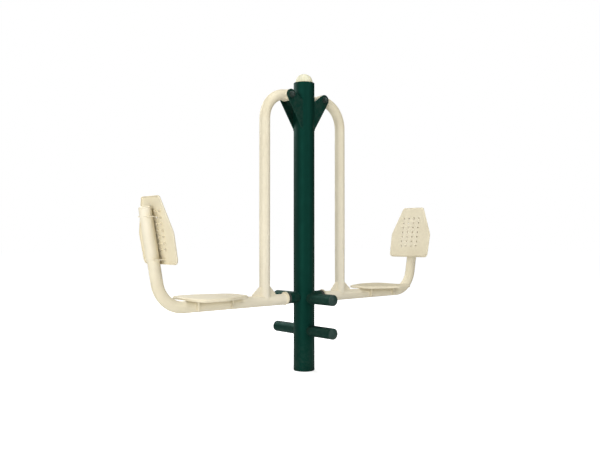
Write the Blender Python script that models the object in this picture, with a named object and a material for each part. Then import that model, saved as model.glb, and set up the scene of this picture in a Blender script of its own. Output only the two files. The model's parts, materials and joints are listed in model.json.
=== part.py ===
"""Outdoor seated pedal trainer for two: a planted steel post with two swing seats.

Each user sits on a seat that hangs from a pivot near the top of the post, puts both feet
on a bar across the post and pushes, so that the seat swings out and up.

Frame: origin at the middle of the post's foot, X along the seat beams, Z up, and -Y is the
front. Left is -X. The left seat unit is the right one turned half a turn about the post.
"""
import math

import bmesh
import bpy

# Clearances
GAP = 0.0003
OVERRUN = 0.010

# Post
POST_R = 0.058
POST_WALL = 0.004
POST_TOP = 1.590
FOOT_PLATE_T = 0.008

# Cap on the post
CAP_R = 0.050
CAP_H = 0.052
CAP_BRIM = 0.003
CAP_STEP = 0.002
CAP_SPIGOT = 0.030

# Round tubes: foot bars, stops and pivot housings, then the swing arm and the seat beam
TUBE_R = 0.030
ARM_R = 0.0285
BEAM_R = 0.0293
TUBE_WALL = 0.003
BEND_R = 0.144

# Pivot
PIVOT_X = 0.124
PIVOT_BELOW_TOP = 0.083
HOUSING_HALF = 0.030
SHAFT_R = 0.010
BEARING_R = 0.0235
BEARING_W = 0.014
BEARING_SET_IN = 0.002
SHOULDER = 0.0035
SPACER_WALL = 0.0035
WASHER_WALL = 0.005
RACE_GROOVE = 0.0008
RACE_SHARES = (0.28, 0.74)

# Bracket plates at the pivot
BRACKET_IN = 0.031
BRACKET_T = 0.008
BRACKET_LOW_LEAN = math.radians(33.0)
BRACKET_HIGH_LEAN = math.radians(54.0)

# Cap nuts on the pivot shaft
NUT_FLATS = 0.030
NUT_H = 0.014
NUT_DOME = 0.007
NUT_FLANGE_R = 0.0175
NUT_FLANGE_T = 0.003
NUT_THREAD = 0.012

# Swing arm, from the pivot out, over and down to the beam
ARM_STRAIGHT = 0.012

# Seat beam with its elbow and back tube
BEAM_Z = 0.398
ELBOW_X = 0.778
BACK_LEAN = math.radians(10.5)
BACK_TUBE = 0.358
BACK_CAP_H = 0.010
BACK_CAP_SPIGOT = 0.020

# Gussets at the foot of the arm
GUSSET_INNER_LEG = 0.042
GUSSET_OUTER_LEG = 0.052
GUSSET_RISE = 0.045
GUSSET_NOSE = 0.008
GUSSET_T = 0.008

# Stops between post and beam
STOP_RISE = 0.005
STUB_END = 0.114
BUMPER_R = 0.031
BUMPER_T = 0.020
BUMPER_ROUND = 0.004
BUMPER_SPIGOT = 0.022
STOP_PLATE_R = 0.035
STOP_PLATE_T = 0.008

# Foot bars
FOOT_LOW_Z = 0.221
FOOT_HALF = 0.227
PLUG_DOME = 0.016
PLUG_BRIM = 0.003
PLUG_SPIGOT = 0.022

# Pressed seat and backrest panels
SHEET = 0.003
SEAT_RIM = 0.014
BACK_RIM = 0.011
RIM_ROUND = 0.009
SEAT_BEFORE_ELBOW = 0.010
SEAT_LEN = 0.331
SEAT_LIFT = 0.0012
SEAT_WIDEST_SHARE = 0.44
SEAT_HALF_REAR = 0.152
SEAT_HALF_WIDEST = 0.157
SEAT_HALF_FRONT = 0.084
SEAT_CORNER_REAR = 0.055
SEAT_CORNER_SIDE = 0.110
SEAT_CORNER_FRONT = 0.062
BACK_UP = 0.086
BACK_LEN = 0.323
BACK_OFF = 0.044
BACK_WIDEST_SHARE = 0.46
BACK_HALF_FOOT = 0.1515
BACK_HALF_WIDEST = 0.1555
BACK_HALF_HEAD = 0.0795
BACK_CORNER_FOOT = 0.024
BACK_CORNER_SIDE = 0.050
BACK_CORNER_HEAD = 0.016

# Holes in the backrest, with the collars pressed out behind them
HOLE_R = 0.005
COLLAR_WALL = 0.0012
COLLAR_DEPTH = 0.010
COLLAR_CLEAR = 0.002
HOLE_COLUMNS = 4
HOLE_ROWS = 7
HOLE_ACROSS = 0.040
HOLE_UP = 0.030
HOLE_FIRST = 0.070

# Saddle plates that carry the panels
SADDLE_T = 0.005
SADDLE_HALF = 0.042
SADDLE_PAST = 0.020
SEAT_SADDLE_SHARES = (0.77, 0.16)
BACK_SADDLE_SHARES = (0.09, 0.715)

# Facets
POST_SIDES = 36
TUBE_SIDES = 20
NUT_SIDES = 12
SMALL_SIDES = 12
HOLE_SIDES = 8
BEND_STEPS = 8
CORNER_STEPS = 3
ROUND_STEPS = 3
DOME_STEPS = 4
HEX_HALF = math.pi / 6
SHARP = math.radians(32.0)

# Places worked out from the sizes above
PIVOT_Z = POST_TOP - PIVOT_BELOW_TOP
ARM_OUT = ARM_STRAIGHT + BEND_R
BRACKET_OUT = BRACKET_IN + BRACKET_T
BEARING_FACE = HOUSING_HALF - BEARING_SET_IN
BEARING_BACK = BEARING_FACE - BEARING_W
BORE_SEAT_R = BEARING_R + GAP
BORE_MID_R = BEARING_R - SHOULDER
STILL_BORE_R = SHAFT_R + GAP
TURNING_BORE_R = STILL_BORE_R / math.cos(math.pi / SMALL_SIDES)
STOP_X = STUB_END + BUMPER_T
BEAM_START = STOP_X + GAP + STOP_PLATE_T + GAP
BACK_TURN = math.pi / 2 - BACK_LEAN
ELBOW_TOP_X = ELBOW_X + BEND_R * math.sin(BACK_TURN)
ELBOW_TOP_Z = BEAM_Z + BEND_R * (1 - math.cos(BACK_TURN))
SEAT_TOP_Z = BEAM_Z + BEAM_R + SEAT_LIFT + SEAT_RIM
SEAT_REAR_X = ELBOW_X - SEAT_BEFORE_ELBOW
FOOT_HIGH_Z = BEAM_Z
STOP_Z = BEAM_Z + STOP_RISE


def clear_scene():
    for obj in list(bpy.data.objects):
        bpy.data.objects.remove(obj, do_unlink=True)


def make_material(name, colour, roughness, metallic):
    material = bpy.data.materials.new(name)
    material.use_nodes = True
    shader = material.node_tree.nodes["Principled BSDF"]
    shader.inputs["Base Color"].default_value = (*colour, 1.0)
    shader.inputs["Roughness"].default_value = roughness
    shader.inputs["Metallic"].default_value = metallic
    material.diffuse_color = (*colour, 1.0)
    return material


def make_empty(name, location=(0, 0, 0), turn=0):
    empty = bpy.data.objects.new(name, None)
    bpy.context.scene.collection.objects.link(empty)
    empty.location = location
    empty.rotation_euler = (0, 0, turn)
    return empty


def make_object(name, mesh, material, parent=None, location=(0, 0, 0), rotation=(0, 0, 0)):
    obj = bpy.data.objects.new(name, mesh)
    bpy.context.scene.collection.objects.link(obj)
    obj.location = location
    obj.rotation_euler = rotation
    obj.parent = parent
    if material is not None and not mesh.materials:
        mesh.materials.append(material)
    return obj


def make_cutter(name, mesh, parent=None, location=(0, 0, 0), rotation=(0, 0, 0)):
    cutter = make_object(name, mesh, None, parent, location, rotation)
    cutter.hide_render = True
    cutter.display_type = "WIRE"
    return cutter


def add_boolean(obj, other, operation):
    boolean = obj.modifiers.new(other.name, "BOOLEAN")
    boolean.operation = operation
    boolean.solver = "EXACT"
    boolean.object = other


def cut(obj, cutter):
    add_boolean(obj, cutter, "DIFFERENCE")


def join(obj, addition):
    add_boolean(obj, addition, "UNION")


def finish_mesh(name, bm):
    bmesh.ops.recalc_face_normals(bm, faces=bm.faces)
    mesh = bpy.data.meshes.new(name)
    bm.to_mesh(mesh)
    bm.free()
    mesh.shade_smooth()
    mesh.set_sharp_from_angle(angle=SHARP)
    for polygon in mesh.polygons:
        polygon.use_smooth = polygon.loop_total <= 4
    return mesh


def skin_rings(bm, rings, closed=False):
    """Join rings of equal length with quads, and the last to the first where closed."""
    pairs = list(zip(rings, rings[1:]))
    if closed:
        pairs.append((rings[-1], rings[0]))
    for lower, upper in pairs:
        count = max(len(lower), len(upper))
        for i in range(count):
            j = (i + 1) % count
            corners = [lower[i % len(lower)], lower[j % len(lower)],
                       upper[j % len(upper)], upper[i % len(upper)]]
            bm.faces.new(list(dict.fromkeys(corners)))


def turned_mesh(name, profile, sides, closed=False, hex_rings=()):
    """Turn (radius, height) points about Z. A zero radius is a point on the axis."""
    bm = bmesh.new()
    rings = []
    for index, (radius, height) in enumerate(profile):
        if radius == 0:
            rings.append([bm.verts.new((0, 0, height))])
            continue
        ring = []
        for side in range(sides):
            angle = 2 * math.pi * side / sides
            reach = radius
            if index in hex_rings:
                reach = radius / math.cos((angle + HEX_HALF) % (2 * HEX_HALF) - HEX_HALF)
            ring.append(bm.verts.new((reach * math.cos(angle), reach * math.sin(angle), height)))
        rings.append(ring)
    skin_rings(bm, rings, closed)
    if not closed:
        for ring in (rings[0], rings[-1]):
            if len(ring) > 1:
                bm.faces.new(ring)
    return finish_mesh(name, bm)


def swept_mesh(name, stations, outer_r, inner_r, sides):
    """Sweep a round section along (x, z, slope) stations in the XZ plane.

    With an inner radius the result is a pipe with open ends, and without one a rod.
    """
    bm = bmesh.new()

    def ring(station, radius):
        x, z, slope = station
        points = []
        for side in range(sides):
            angle = 2 * math.pi * side / sides
            lift = radius * math.sin(angle)
            points.append(bm.verts.new((x - lift * math.sin(slope), radius * math.cos(angle),
                                        z + lift * math.cos(slope))))
        return points

    outside = [ring(station, outer_r) for station in stations]
    if inner_r is None:
        skin_rings(bm, outside)
        bm.faces.new(outside[0])
        bm.faces.new(outside[-1])
    else:
        inside = [ring(station, inner_r) for station in reversed(stations)]
        skin_rings(bm, outside + inside, closed=True)
    return finish_mesh(name, bm)


def bend_stations(x, z, slope, turn, radius):
    """Stations on an arc that starts at (x, z) and turns the slope by turn radians."""
    way = math.copysign(1, turn)
    centre_x = x - way * radius * math.sin(slope)
    centre_z = z + way * radius * math.cos(slope)
    stations = []
    for step in range(BEND_STEPS + 1):
        angle = slope + turn * step / BEND_STEPS
        stations.append((centre_x + way * radius * math.sin(angle),
                         centre_z - way * radius * math.cos(angle), angle))
    return stations


def slab_mesh(name, outline, low, high):
    """Flat plate: an (x, z) outline between two depths along Y."""
    bm = bmesh.new()
    rings = [[bm.verts.new((x, depth, z)) for x, z in outline] for depth in (low, high)]
    skin_rings(bm, rings)
    bm.faces.new(rings[0])
    bm.faces.new(rings[1])
    return finish_mesh(name, bm)


def inset_corners(corners, distance):
    """Move each side of a convex (x, y, radius) outline inward by distance."""
    moved = []
    count = len(corners)
    for index in range(count):
        x0, y0, _ = corners[index - 1]
        x1, y1, radius = corners[index]
        x2, y2, _ = corners[(index + 1) % count]
        ax, ay = unit(x1 - x0, y1 - y0)
        bx, by = unit(x2 - x1, y2 - y1)
        reach = distance / (1 + ax * bx + ay * by)
        moved.append((x1 - (ay + by) * reach, y1 + (ax + bx) * reach, radius - distance))
    return moved


def unit(x, y):
    length = math.hypot(x, y)
    return x / length, y / length


def rounded_outline(corners):
    """Points round a convex outline, given counter-clockwise, with an arc at each corner."""
    points = []
    count = len(corners)
    for index in range(count):
        x0, y0, _ = corners[index - 1]
        x1, y1, radius = corners[index]
        x2, y2, _ = corners[(index + 1) % count]
        ax, ay = unit(x1 - x0, y1 - y0)
        bx, by = unit(x2 - x1, y2 - y1)
        turn = math.atan2(ax * by - ay * bx, ax * bx + ay * by)
        back = radius * math.tan(turn / 2)
        centre_x = x1 - ax * back - ay * radius
        centre_y = y1 - ay * back + ax * radius
        start = math.atan2(-ax, ay)
        for step in range(CORNER_STEPS + 1):
            angle = start + turn * step / CORNER_STEPS
            points.append((centre_x + radius * math.cos(angle),
                           centre_y + radius * math.sin(angle)))
    return points


def panel_corners(length, widest_share, half_root, half_widest, half_head, radii):
    """Six corners of a panel that runs along +X from its root to its narrower head."""
    root, side, head = radii
    widest = length * widest_share
    lower = [(0, -half_root, root), (widest, -half_widest, side), (length, -half_head, head)]
    upper = [(x, -y, radius) for x, y, radius in reversed(lower)]
    return lower + upper


def pressed_mesh(name, corners, rim):
    """Sheet panel facing +Z with its face at z = 0 and its rim turned down all round."""
    bm = bmesh.new()
    levels = []
    for step in range(ROUND_STEPS + 1):
        angle = math.pi / 2 * step / ROUND_STEPS
        levels.append((RIM_ROUND * (1 - math.sin(angle)), -RIM_ROUND * (1 - math.cos(angle))))
    levels.append((0, -rim))
    levels.append((SHEET, -rim))
    inner_round = RIM_ROUND - SHEET
    for step in range(ROUND_STEPS + 1):
        angle = math.pi / 2 * (1 - step / ROUND_STEPS)
        levels.append((RIM_ROUND - inner_round * math.sin(angle),
                       -RIM_ROUND + inner_round * math.cos(angle)))
    rings = []
    for inset, height in levels:
        outline = rounded_outline(inset_corners(corners, inset))
        rings.append([bm.verts.new((x, y, height)) for x, y in outline])
    skin_rings(bm, rings)
    bm.faces.new(rings[0])
    bm.faces.new(rings[-1])
    return finish_mesh(name, bm)


def hole_places():
    """Middles of the holes of the backrest, in the panel's own frame."""
    middle = (HOLE_COLUMNS - 1) / 2
    return [(HOLE_FIRST + row * HOLE_UP, (column - middle) * HOLE_ACROSS)
            for row in range(HOLE_ROWS) for column in range(HOLE_COLUMNS)]


def collar_places():
    """Holes with a collar: all but those that the upper saddle plate crosses."""
    saddle_x = BACK_SADDLE_SHARES[1] * BACK_LEN - BACK_OFF * math.tan(BACK_LEAN)
    reach = HOLE_R + COLLAR_WALL + COLLAR_CLEAR + SADDLE_T
    return [(x, y) for x, y in hole_places()
            if abs(x - saddle_x) > reach or abs(y) > SADDLE_HALF]


def pegs_mesh(name, places, radius, low, high):
    """Round pegs along Z at (x, y) places, between two heights."""
    bm = bmesh.new()
    for x, y in places:
        rings = []
        for height in (low, high):
            ring = []
            for side in range(HOLE_SIDES):
                angle = 2 * math.pi * side / HOLE_SIDES
                ring.append(bm.verts.new((x + radius * math.cos(angle),
                                          y + radius * math.sin(angle), height)))
            rings.append(ring)
        skin_rings(bm, rings)
        bm.faces.new(rings[0])
        bm.faces.new(rings[1])
    return finish_mesh(name, bm)


def dome_profile(radius, brim, height):
    """Half ellipse over a short straight brim, from the brim's foot up to the axis."""
    points = [(radius, 0)]
    for step in range(DOME_STEPS):
        angle = math.pi / 2 * step / DOME_STEPS
        points.append((radius * math.cos(angle), brim + (height - brim) * math.sin(angle)))
    points.append((0, height))
    return points


def plug_mesh(name, outer_r, bore_r, brim, height, spigot):
    """Domed plug that closes a tube end: z = 0 is the face that meets the tube."""
    skirt_r = bore_r - GAP
    profile = [(0, -spigot), (skirt_r, -spigot), (skirt_r, 0)]
    return turned_mesh(name, profile + dome_profile(outer_r, brim, height), TUBE_SIDES)


def build_post(green, cream):
    """Post tube with its foot plate and cap, and the two foot bars that go through it."""
    post_bore = POST_R - POST_WALL
    tube = turned_mesh("post_tube", [(POST_R, POST_TOP), (POST_R, 0), (post_bore, 0),
                                     (post_bore, POST_TOP)], POST_SIDES, closed=True)
    post = make_object("post_tube", tube, green)
    skirt_r = post_bore - GAP
    foot = turned_mesh("post_foot_plate", [(0, 0), (skirt_r, 0), (skirt_r, FOOT_PLATE_T),
                                           (0, FOOT_PLATE_T)], POST_SIDES)
    make_object("post_foot_plate", foot, green)

    cap = [(0, -CAP_SPIGOT), (skirt_r, -CAP_SPIGOT), (skirt_r, 0), (CAP_R, 0), (CAP_R, CAP_BRIM)]
    dome = [(r, z + CAP_BRIM) for r, z in
            dome_profile(CAP_R - CAP_STEP, CAP_BRIM, CAP_H - CAP_BRIM)]
    cap_mesh = turned_mesh("post_cap", cap + dome, POST_SIDES)
    make_object("post_cap", cap_mesh, cream, location=(0, 0, POST_TOP))

    along_y = (0, 0, math.pi / 2)
    reach = POST_R + OVERRUN
    bar_cut = swept_mesh("bar_cut", [(-reach, 0, 0), (reach, 0, 0)], TUBE_R + GAP, None,
                         TUBE_SIDES)
    bar = swept_mesh("foot_bar", [(-FOOT_HALF, 0, 0), (FOOT_HALF, 0, 0)], TUBE_R,
                     TUBE_R - TUBE_WALL, TUBE_SIDES)
    plug = plug_mesh("foot_plug", TUBE_R, TUBE_R - TUBE_WALL, PLUG_BRIM, PLUG_DOME, PLUG_SPIGOT)
    for level, height in (("lower", FOOT_LOW_Z), ("upper", FOOT_HIGH_Z)):
        cutter = make_cutter(level + "_bar_cutter", bar_cut, location=(0, 0, height),
                             rotation=along_y)
        cut(post, cutter)
        make_object(level + "_foot_bar", bar, green, location=(0, 0, height), rotation=along_y)
        for end, way in (("front", -1), ("rear", 1)):
            make_object(level + "_" + end + "_foot_plug", plug, green,
                        location=(0, way * (FOOT_HALF + GAP), height),
                        rotation=(-way * math.pi / 2, 0, 0))


def build_brackets(side, way, green, post_cutter):
    """Two parallel plates with a round end, whose edges spread from the pivot to the post."""
    start = -BRACKET_LOW_LEAN
    sweep = math.pi - BRACKET_HIGH_LEAN + BRACKET_LOW_LEAN
    outline = []
    for step in range(SMALL_SIDES + 1):
        angle = start + sweep * step / SMALL_SIDES
        outline.append((TUBE_R * math.cos(angle), TUBE_R * math.sin(angle)))
    for lean, point in ((BRACKET_HIGH_LEAN, outline[-1]), (BRACKET_LOW_LEAN, outline[0])):
        inward = PIVOT_X + point[0]
        outline.append((-PIVOT_X, point[1] - inward / math.tan(lean)))
    mesh = slab_mesh(side + "_bracket", outline, -BRACKET_T / 2, BRACKET_T / 2)
    for end, face in (("front", -1), ("rear", 1)):
        depth = face * (BRACKET_IN + BRACKET_T / 2)
        plate = make_object(side + "_" + end + "_bracket", mesh, green,
                            location=(way * PIVOT_X, depth, PIVOT_Z),
                            rotation=(0, 0, 0 if way > 0 else math.pi))
        cut(plate, post_cutter)
        bore = swept_mesh("shaft_cut", [(-BRACKET_T, 0, 0), (BRACKET_T, 0, 0)], STILL_BORE_R,
                          None, SMALL_SIDES)
        cut(plate, make_cutter(side + "_" + end + "_bore_cutter", bore,
                               location=plate.location, rotation=(0, 0, math.pi / 2)))


def build_pivot(side, way, steel, nylon):
    """Shaft through both plates, with a washer inside and a cap nut outside each plate."""
    centre = (way * PIVOT_X, 0, PIVOT_Z)
    tip = BRACKET_OUT + NUT_THREAD
    shaft = swept_mesh("pivot_shaft", [(-tip, 0, 0), (tip, 0, 0)], SHAFT_R, None, SMALL_SIDES)
    make_object(side + "_pivot_shaft", shaft, steel, location=centre,
                rotation=(0, 0, math.pi / 2))

    washer_r = STILL_BORE_R + WASHER_WALL
    washer_t = BRACKET_IN - BEARING_FACE - GAP - GAP
    washer = turned_mesh("pivot_washer", [(washer_r, 0), (STILL_BORE_R, 0),
                                          (STILL_BORE_R, washer_t), (washer_r, washer_t)],
                         SMALL_SIDES, closed=True)
    flats = NUT_FLATS / 2
    dome = [(r, z + NUT_H) for r, z in dome_profile(flats, 0, NUT_DOME)[1:]]
    nut_profile = [(0, NUT_THREAD), (STILL_BORE_R, NUT_THREAD), (STILL_BORE_R, 0),
                   (NUT_FLANGE_R, 0), (NUT_FLANGE_R, NUT_FLANGE_T), (flats, NUT_FLANGE_T),
                   (flats, NUT_H)]
    nut = turned_mesh("cap_nut", nut_profile + dome, NUT_SIDES, hex_rings=(5, 6))
    for end, face in (("front", -1), ("rear", 1)):
        turn = (-face * math.pi / 2, 0, 0)
        inner = face * (BEARING_FACE + GAP)
        make_object(side + "_" + end + "_washer", washer, nylon,
                    location=(centre[0], inner, PIVOT_Z), rotation=turn)
        outer = face * (BRACKET_OUT + GAP)
        make_object(side + "_" + end + "_cap_nut", nut, steel,
                    location=(centre[0], outer, PIVOT_Z), rotation=turn)


def build_stop(side, way, green, rubber, post_cutter):
    """Short tube on the post with a rubber bumper plugged into its open end."""
    stub = swept_mesh("stop_stub", [(POST_R / 2, 0, 0), (STUB_END - GAP, 0, 0)], TUBE_R,
                      TUBE_R - TUBE_WALL, TUBE_SIDES)
    turn = 0 if way > 0 else math.pi
    piece = make_object(side + "_stop_stub", stub, green, location=(0, 0, STOP_Z),
                        rotation=(0, 0, turn))
    cut(piece, post_cutter)
    skirt_r = TUBE_R - TUBE_WALL - GAP
    profile = [(0, -BUMPER_SPIGOT), (skirt_r, -BUMPER_SPIGOT), (skirt_r, 0)]
    for low, start in ((BUMPER_ROUND, -math.pi / 2), (BUMPER_T - BUMPER_ROUND, 0)):
        for step in range(ROUND_STEPS + 1):
            angle = start + math.pi / 2 * step / ROUND_STEPS
            profile.append((BUMPER_R - BUMPER_ROUND * (1 - math.cos(angle)),
                            low + BUMPER_ROUND * math.sin(angle)))
    profile.append((0, BUMPER_T))
    bumper = turned_mesh("bumper", profile, TUBE_SIDES)
    make_object(side + "_bumper", bumper, rubber, location=(way * STUB_END, 0, STOP_Z),
                rotation=(0, way * math.pi / 2, 0))


def build_bearings(side, way, axis, cream, steel, nylon):
    """Bearing housing that turns on the shaft, with two ball bearings and their spacer."""
    housing = turned_mesh("pivot_housing", [
        (TUBE_R, HOUSING_HALF), (TUBE_R, -HOUSING_HALF),
        (BORE_SEAT_R, -HOUSING_HALF), (BORE_SEAT_R, -BEARING_BACK + GAP),
        (BORE_MID_R, -BEARING_BACK + GAP), (BORE_MID_R, BEARING_BACK - GAP),
        (BORE_SEAT_R, BEARING_BACK - GAP), (BORE_SEAT_R, HOUSING_HALF)],
        TUBE_SIDES, closed=True)
    upright = (math.pi / 2, 0, 0)
    make_object(side + "_pivot_housing", housing, cream, axis, rotation=upright)

    bore = TURNING_BORE_R
    ring = BEARING_R - bore
    groove = [bore + ring * share for share in RACE_SHARES]
    bearing = turned_mesh("pivot_bearing", [
        (BEARING_R, BEARING_W), (BEARING_R, 0), (bore, 0), (bore, BEARING_W),
        (groove[0], BEARING_W), (groove[0], BEARING_W - RACE_GROOVE),
        (groove[1], BEARING_W - RACE_GROOVE), (groove[1], BEARING_W)],
        SMALL_SIDES, closed=True)
    for end, face in (("front", -1), ("rear", 1)):
        make_object(side + "_" + end + "_bearing", bearing, steel, axis,
                    location=(0, way * face * BEARING_BACK, 0),
                    rotation=(-way * face * math.pi / 2, 0, 0))
    half = BEARING_BACK - GAP
    spacer = turned_mesh("bearing_spacer", [(bore + SPACER_WALL, half), (bore + SPACER_WALL, -half),
                                            (bore, -half), (bore, half)],
                         SMALL_SIDES, closed=True)
    make_object(side + "_bearing_spacer", spacer, nylon, axis, rotation=upright)


def build_arm(side, axis, cream, beam_cutter):
    """Bent tube from the housing out, over and down onto the beam, with its two gussets."""
    stations = [(0, 0, 0)]
    stations += bend_stations(ARM_STRAIGHT, 0, 0, -math.pi / 2, BEND_R)
    drop = PIVOT_Z - BEAM_Z
    stations.append((ARM_OUT, -drop, -math.pi / 2))
    arm_mesh = swept_mesh("swing_arm", stations, ARM_R, ARM_R - TUBE_WALL, TUBE_SIDES)
    arm = make_object(side + "_swing_arm", arm_mesh, cream, axis)
    reach = HOUSING_HALF + OVERRUN
    saddle = turned_mesh("housing_cut", [(0, -reach), (TUBE_R + GAP, -reach),
                                         (TUBE_R + GAP, reach), (0, reach)], TUBE_SIDES)
    cut(arm, make_cutter(side + "_housing_cutter", saddle, axis, rotation=(math.pi / 2, 0, 0)))
    cut(arm, beam_cutter)

    root = ARM_R + GAP
    foot = BEAM_R + GAP
    for end, face, leg in (("inner", -1, GUSSET_INNER_LEG), ("outer", 1, GUSSET_OUTER_LEG)):
        outline = [(face * root, foot), (face * (root + leg), foot),
                   (face * (root + leg), foot + GUSSET_NOSE),
                   (face * (root + GUSSET_NOSE), foot + GUSSET_RISE),
                   (face * root, foot + GUSSET_RISE)]
        gusset = slab_mesh("gusset", outline, -GUSSET_T / 2, GUSSET_T / 2)
        make_object(side + "_" + end + "_gusset", gusset, cream, axis,
                    location=(ARM_OUT, 0, -drop))


def build_beam(side, axis, cream):
    """Beam, elbow and back tube bent from one tube, with its stop plate and top cap."""
    stations = [(BEAM_START, BEAM_Z, 0)]
    stations += bend_stations(ELBOW_X, BEAM_Z, 0, BACK_TURN, BEND_R)
    top_x = ELBOW_TOP_X + BACK_TUBE * math.sin(BACK_LEAN)
    top_z = ELBOW_TOP_Z + BACK_TUBE * math.cos(BACK_LEAN)
    stations.append((top_x, top_z, BACK_TURN))
    beam_mesh = swept_mesh("seat_beam", stations, BEAM_R, BEAM_R - TUBE_WALL, TUBE_SIDES)
    home = (-PIVOT_X, 0, -PIVOT_Z)
    make_object(side + "_seat_beam", beam_mesh, cream, axis, location=home)

    plate = turned_mesh("stop_plate", [(0, 0), (STOP_PLATE_R, 0), (STOP_PLATE_R, STOP_PLATE_T),
                                       (0, STOP_PLATE_T)], TUBE_SIDES)
    make_object(side + "_stop_plate", plate, cream, axis,
                location=(STOP_X + GAP - PIVOT_X, 0, STOP_Z - PIVOT_Z),
                rotation=(0, math.pi / 2, 0))

    cap = plug_mesh("back_tube_cap", BEAM_R, BEAM_R - TUBE_WALL, 0, BACK_CAP_H, BACK_CAP_SPIGOT)
    make_object(side + "_back_tube_cap", cap, cream, axis,
                location=(top_x + GAP * math.sin(BACK_LEAN) - PIVOT_X, 0,
                          top_z + GAP * math.cos(BACK_LEAN) - PIVOT_Z),
                rotation=(0, BACK_LEAN, 0))


def build_seat(side, axis, cream, beam_cutter):
    """Pressed seat panel over the beam, carried by two saddle plates."""
    corners = panel_corners(SEAT_LEN, SEAT_WIDEST_SHARE, SEAT_HALF_REAR, SEAT_HALF_WIDEST,
                            SEAT_HALF_FRONT,
                            (SEAT_CORNER_REAR, SEAT_CORNER_SIDE, SEAT_CORNER_FRONT))
    pan = pressed_mesh("seat_pan", corners, SEAT_RIM)
    make_object(side + "_seat_pan", pan, cream, axis,
                location=(SEAT_REAR_X - PIVOT_X, 0, SEAT_TOP_Z - PIVOT_Z),
                rotation=(0, 0, math.pi))

    top = SEAT_TOP_Z - SHEET - GAP - BEAM_Z
    for end, share in zip(("front", "rear"), SEAT_SADDLE_SHARES):
        outline = [(-SADDLE_HALF, -SADDLE_PAST), (SADDLE_HALF, -SADDLE_PAST),
                   (SADDLE_HALF, top), (-SADDLE_HALF, top)]
        saddle = slab_mesh("seat_saddle", outline, -SADDLE_T / 2, SADDLE_T / 2)
        piece = make_object(side + "_" + end + "_seat_saddle", saddle, cream, axis,
                            location=(SEAT_REAR_X - share * SEAT_LEN - PIVOT_X, 0,
                                      BEAM_Z - PIVOT_Z),
                            rotation=(0, 0, math.pi / 2))
        cut(piece, beam_cutter)


def build_back(side, axis, cream):
    """Pressed backrest with its hole field, carried by two saddle plates on the back tube."""
    corners = panel_corners(BACK_LEN, BACK_WIDEST_SHARE, BACK_HALF_FOOT, BACK_HALF_WIDEST,
                            BACK_HALF_HEAD,
                            (BACK_CORNER_FOOT, BACK_CORNER_SIDE, BACK_CORNER_HEAD))
    root = make_empty(side + "_back_frame")
    root.parent = axis
    root.location = (ELBOW_TOP_X - PIVOT_X, 0, ELBOW_TOP_Z - PIVOT_Z)
    root.rotation_euler = (0, BACK_LEAN, 0)

    flat_to_upright = (0, -math.pi / 2, 0)
    plate = pressed_mesh("backrest", corners, BACK_RIM)
    backrest = make_object(side + "_backrest", plate, cream, root,
                           location=(-BACK_OFF, 0, BACK_UP), rotation=flat_to_upright)
    collars = pegs_mesh("collars", collar_places(), HOLE_R + COLLAR_WALL, -COLLAR_DEPTH,
                        -SHEET / 2)
    join(backrest, make_cutter(side + "_collar_pegs", collars, root,
                               location=backrest.location, rotation=flat_to_upright))
    holes = pegs_mesh("hole_cut", hole_places(), HOLE_R, -COLLAR_DEPTH - OVERRUN, OVERRUN)
    cut(backrest, make_cutter(side + "_hole_cutter", holes, root,
                              location=backrest.location, rotation=flat_to_upright))

    reach = BACK_TUBE + OVERRUN
    tube_cut = swept_mesh("back_tube_cut", [(0, 0, math.pi / 2), (0, reach, math.pi / 2)],
                          BEAM_R + GAP, None, TUBE_SIDES)
    tube_cutter = make_cutter(side + "_back_tube_cutter", tube_cut, root)
    front = ((BACK_OFF - SHEET - GAP) / math.cos(BACK_LEAN)
             - SADDLE_T / 2 * math.tan(BACK_LEAN))
    for end, share in zip(("lower", "upper"), BACK_SADDLE_SHARES):
        along = BACK_UP + share * BACK_LEN
        outline = [(-SADDLE_HALF, -SADDLE_PAST), (SADDLE_HALF, -SADDLE_PAST),
                   (SADDLE_HALF, front), (-SADDLE_HALF, front)]
        saddle = slab_mesh("back_saddle", outline, -SADDLE_T / 2, SADDLE_T / 2)
        piece = make_object(side + "_" + end + "_back_saddle", saddle, cream, axis,
                            location=(root.location.x + along * math.sin(BACK_LEAN), 0,
                                      root.location.z + along * math.cos(BACK_LEAN)),
                            rotation=(math.pi / 2, 0, -math.pi / 2))
        cut(piece, tube_cutter)


def build():
    clear_scene()
    green = make_material("green_paint", (0.004, 0.047, 0.031), 0.42, 0.0)
    cream = make_material("cream_paint", (0.78, 0.70, 0.53), 0.42, 0.0)
    rubber = make_material("black_rubber", (0.025, 0.025, 0.022), 0.75, 0.0)
    steel = make_material("dark_steel", (0.12, 0.13, 0.12), 0.35, 0.9)
    nylon = make_material("nylon", (0.55, 0.54, 0.50), 0.55, 0.0)

    build_post(green, cream)
    post_cut = turned_mesh("post_cut", [(0, -OVERRUN), (POST_R + GAP, -OVERRUN),
                                        (POST_R + GAP, POST_TOP), (0, POST_TOP)], POST_SIDES)
    post_cutter = make_cutter("post_cutter", post_cut)
    for side, way in (("left", -1), ("right", 1)):
        build_brackets(side, way, green, post_cutter)
        build_pivot(side, way, steel, nylon)
        build_stop(side, way, green, rubber, post_cutter)
        axis = make_empty(side + "_swing_axis", (way * PIVOT_X, 0, PIVOT_Z),
                          0 if way > 0 else math.pi)
        beam_cut = swept_mesh("beam_cut", [(BEAM_START, BEAM_Z, 0), (ELBOW_X, BEAM_Z, 0)],
                              BEAM_R + GAP, None, TUBE_SIDES)
        beam_cutter = make_cutter(side + "_beam_cutter", beam_cut, axis,
                                  location=(-PIVOT_X, 0, -PIVOT_Z))
        build_bearings(side, way, axis, cream, steel, nylon)
        build_arm(side, axis, cream, beam_cutter)
        build_beam(side, axis, cream)
        build_seat(side, axis, cream, beam_cutter)
        build_back(side, axis, cream)


build()
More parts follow.
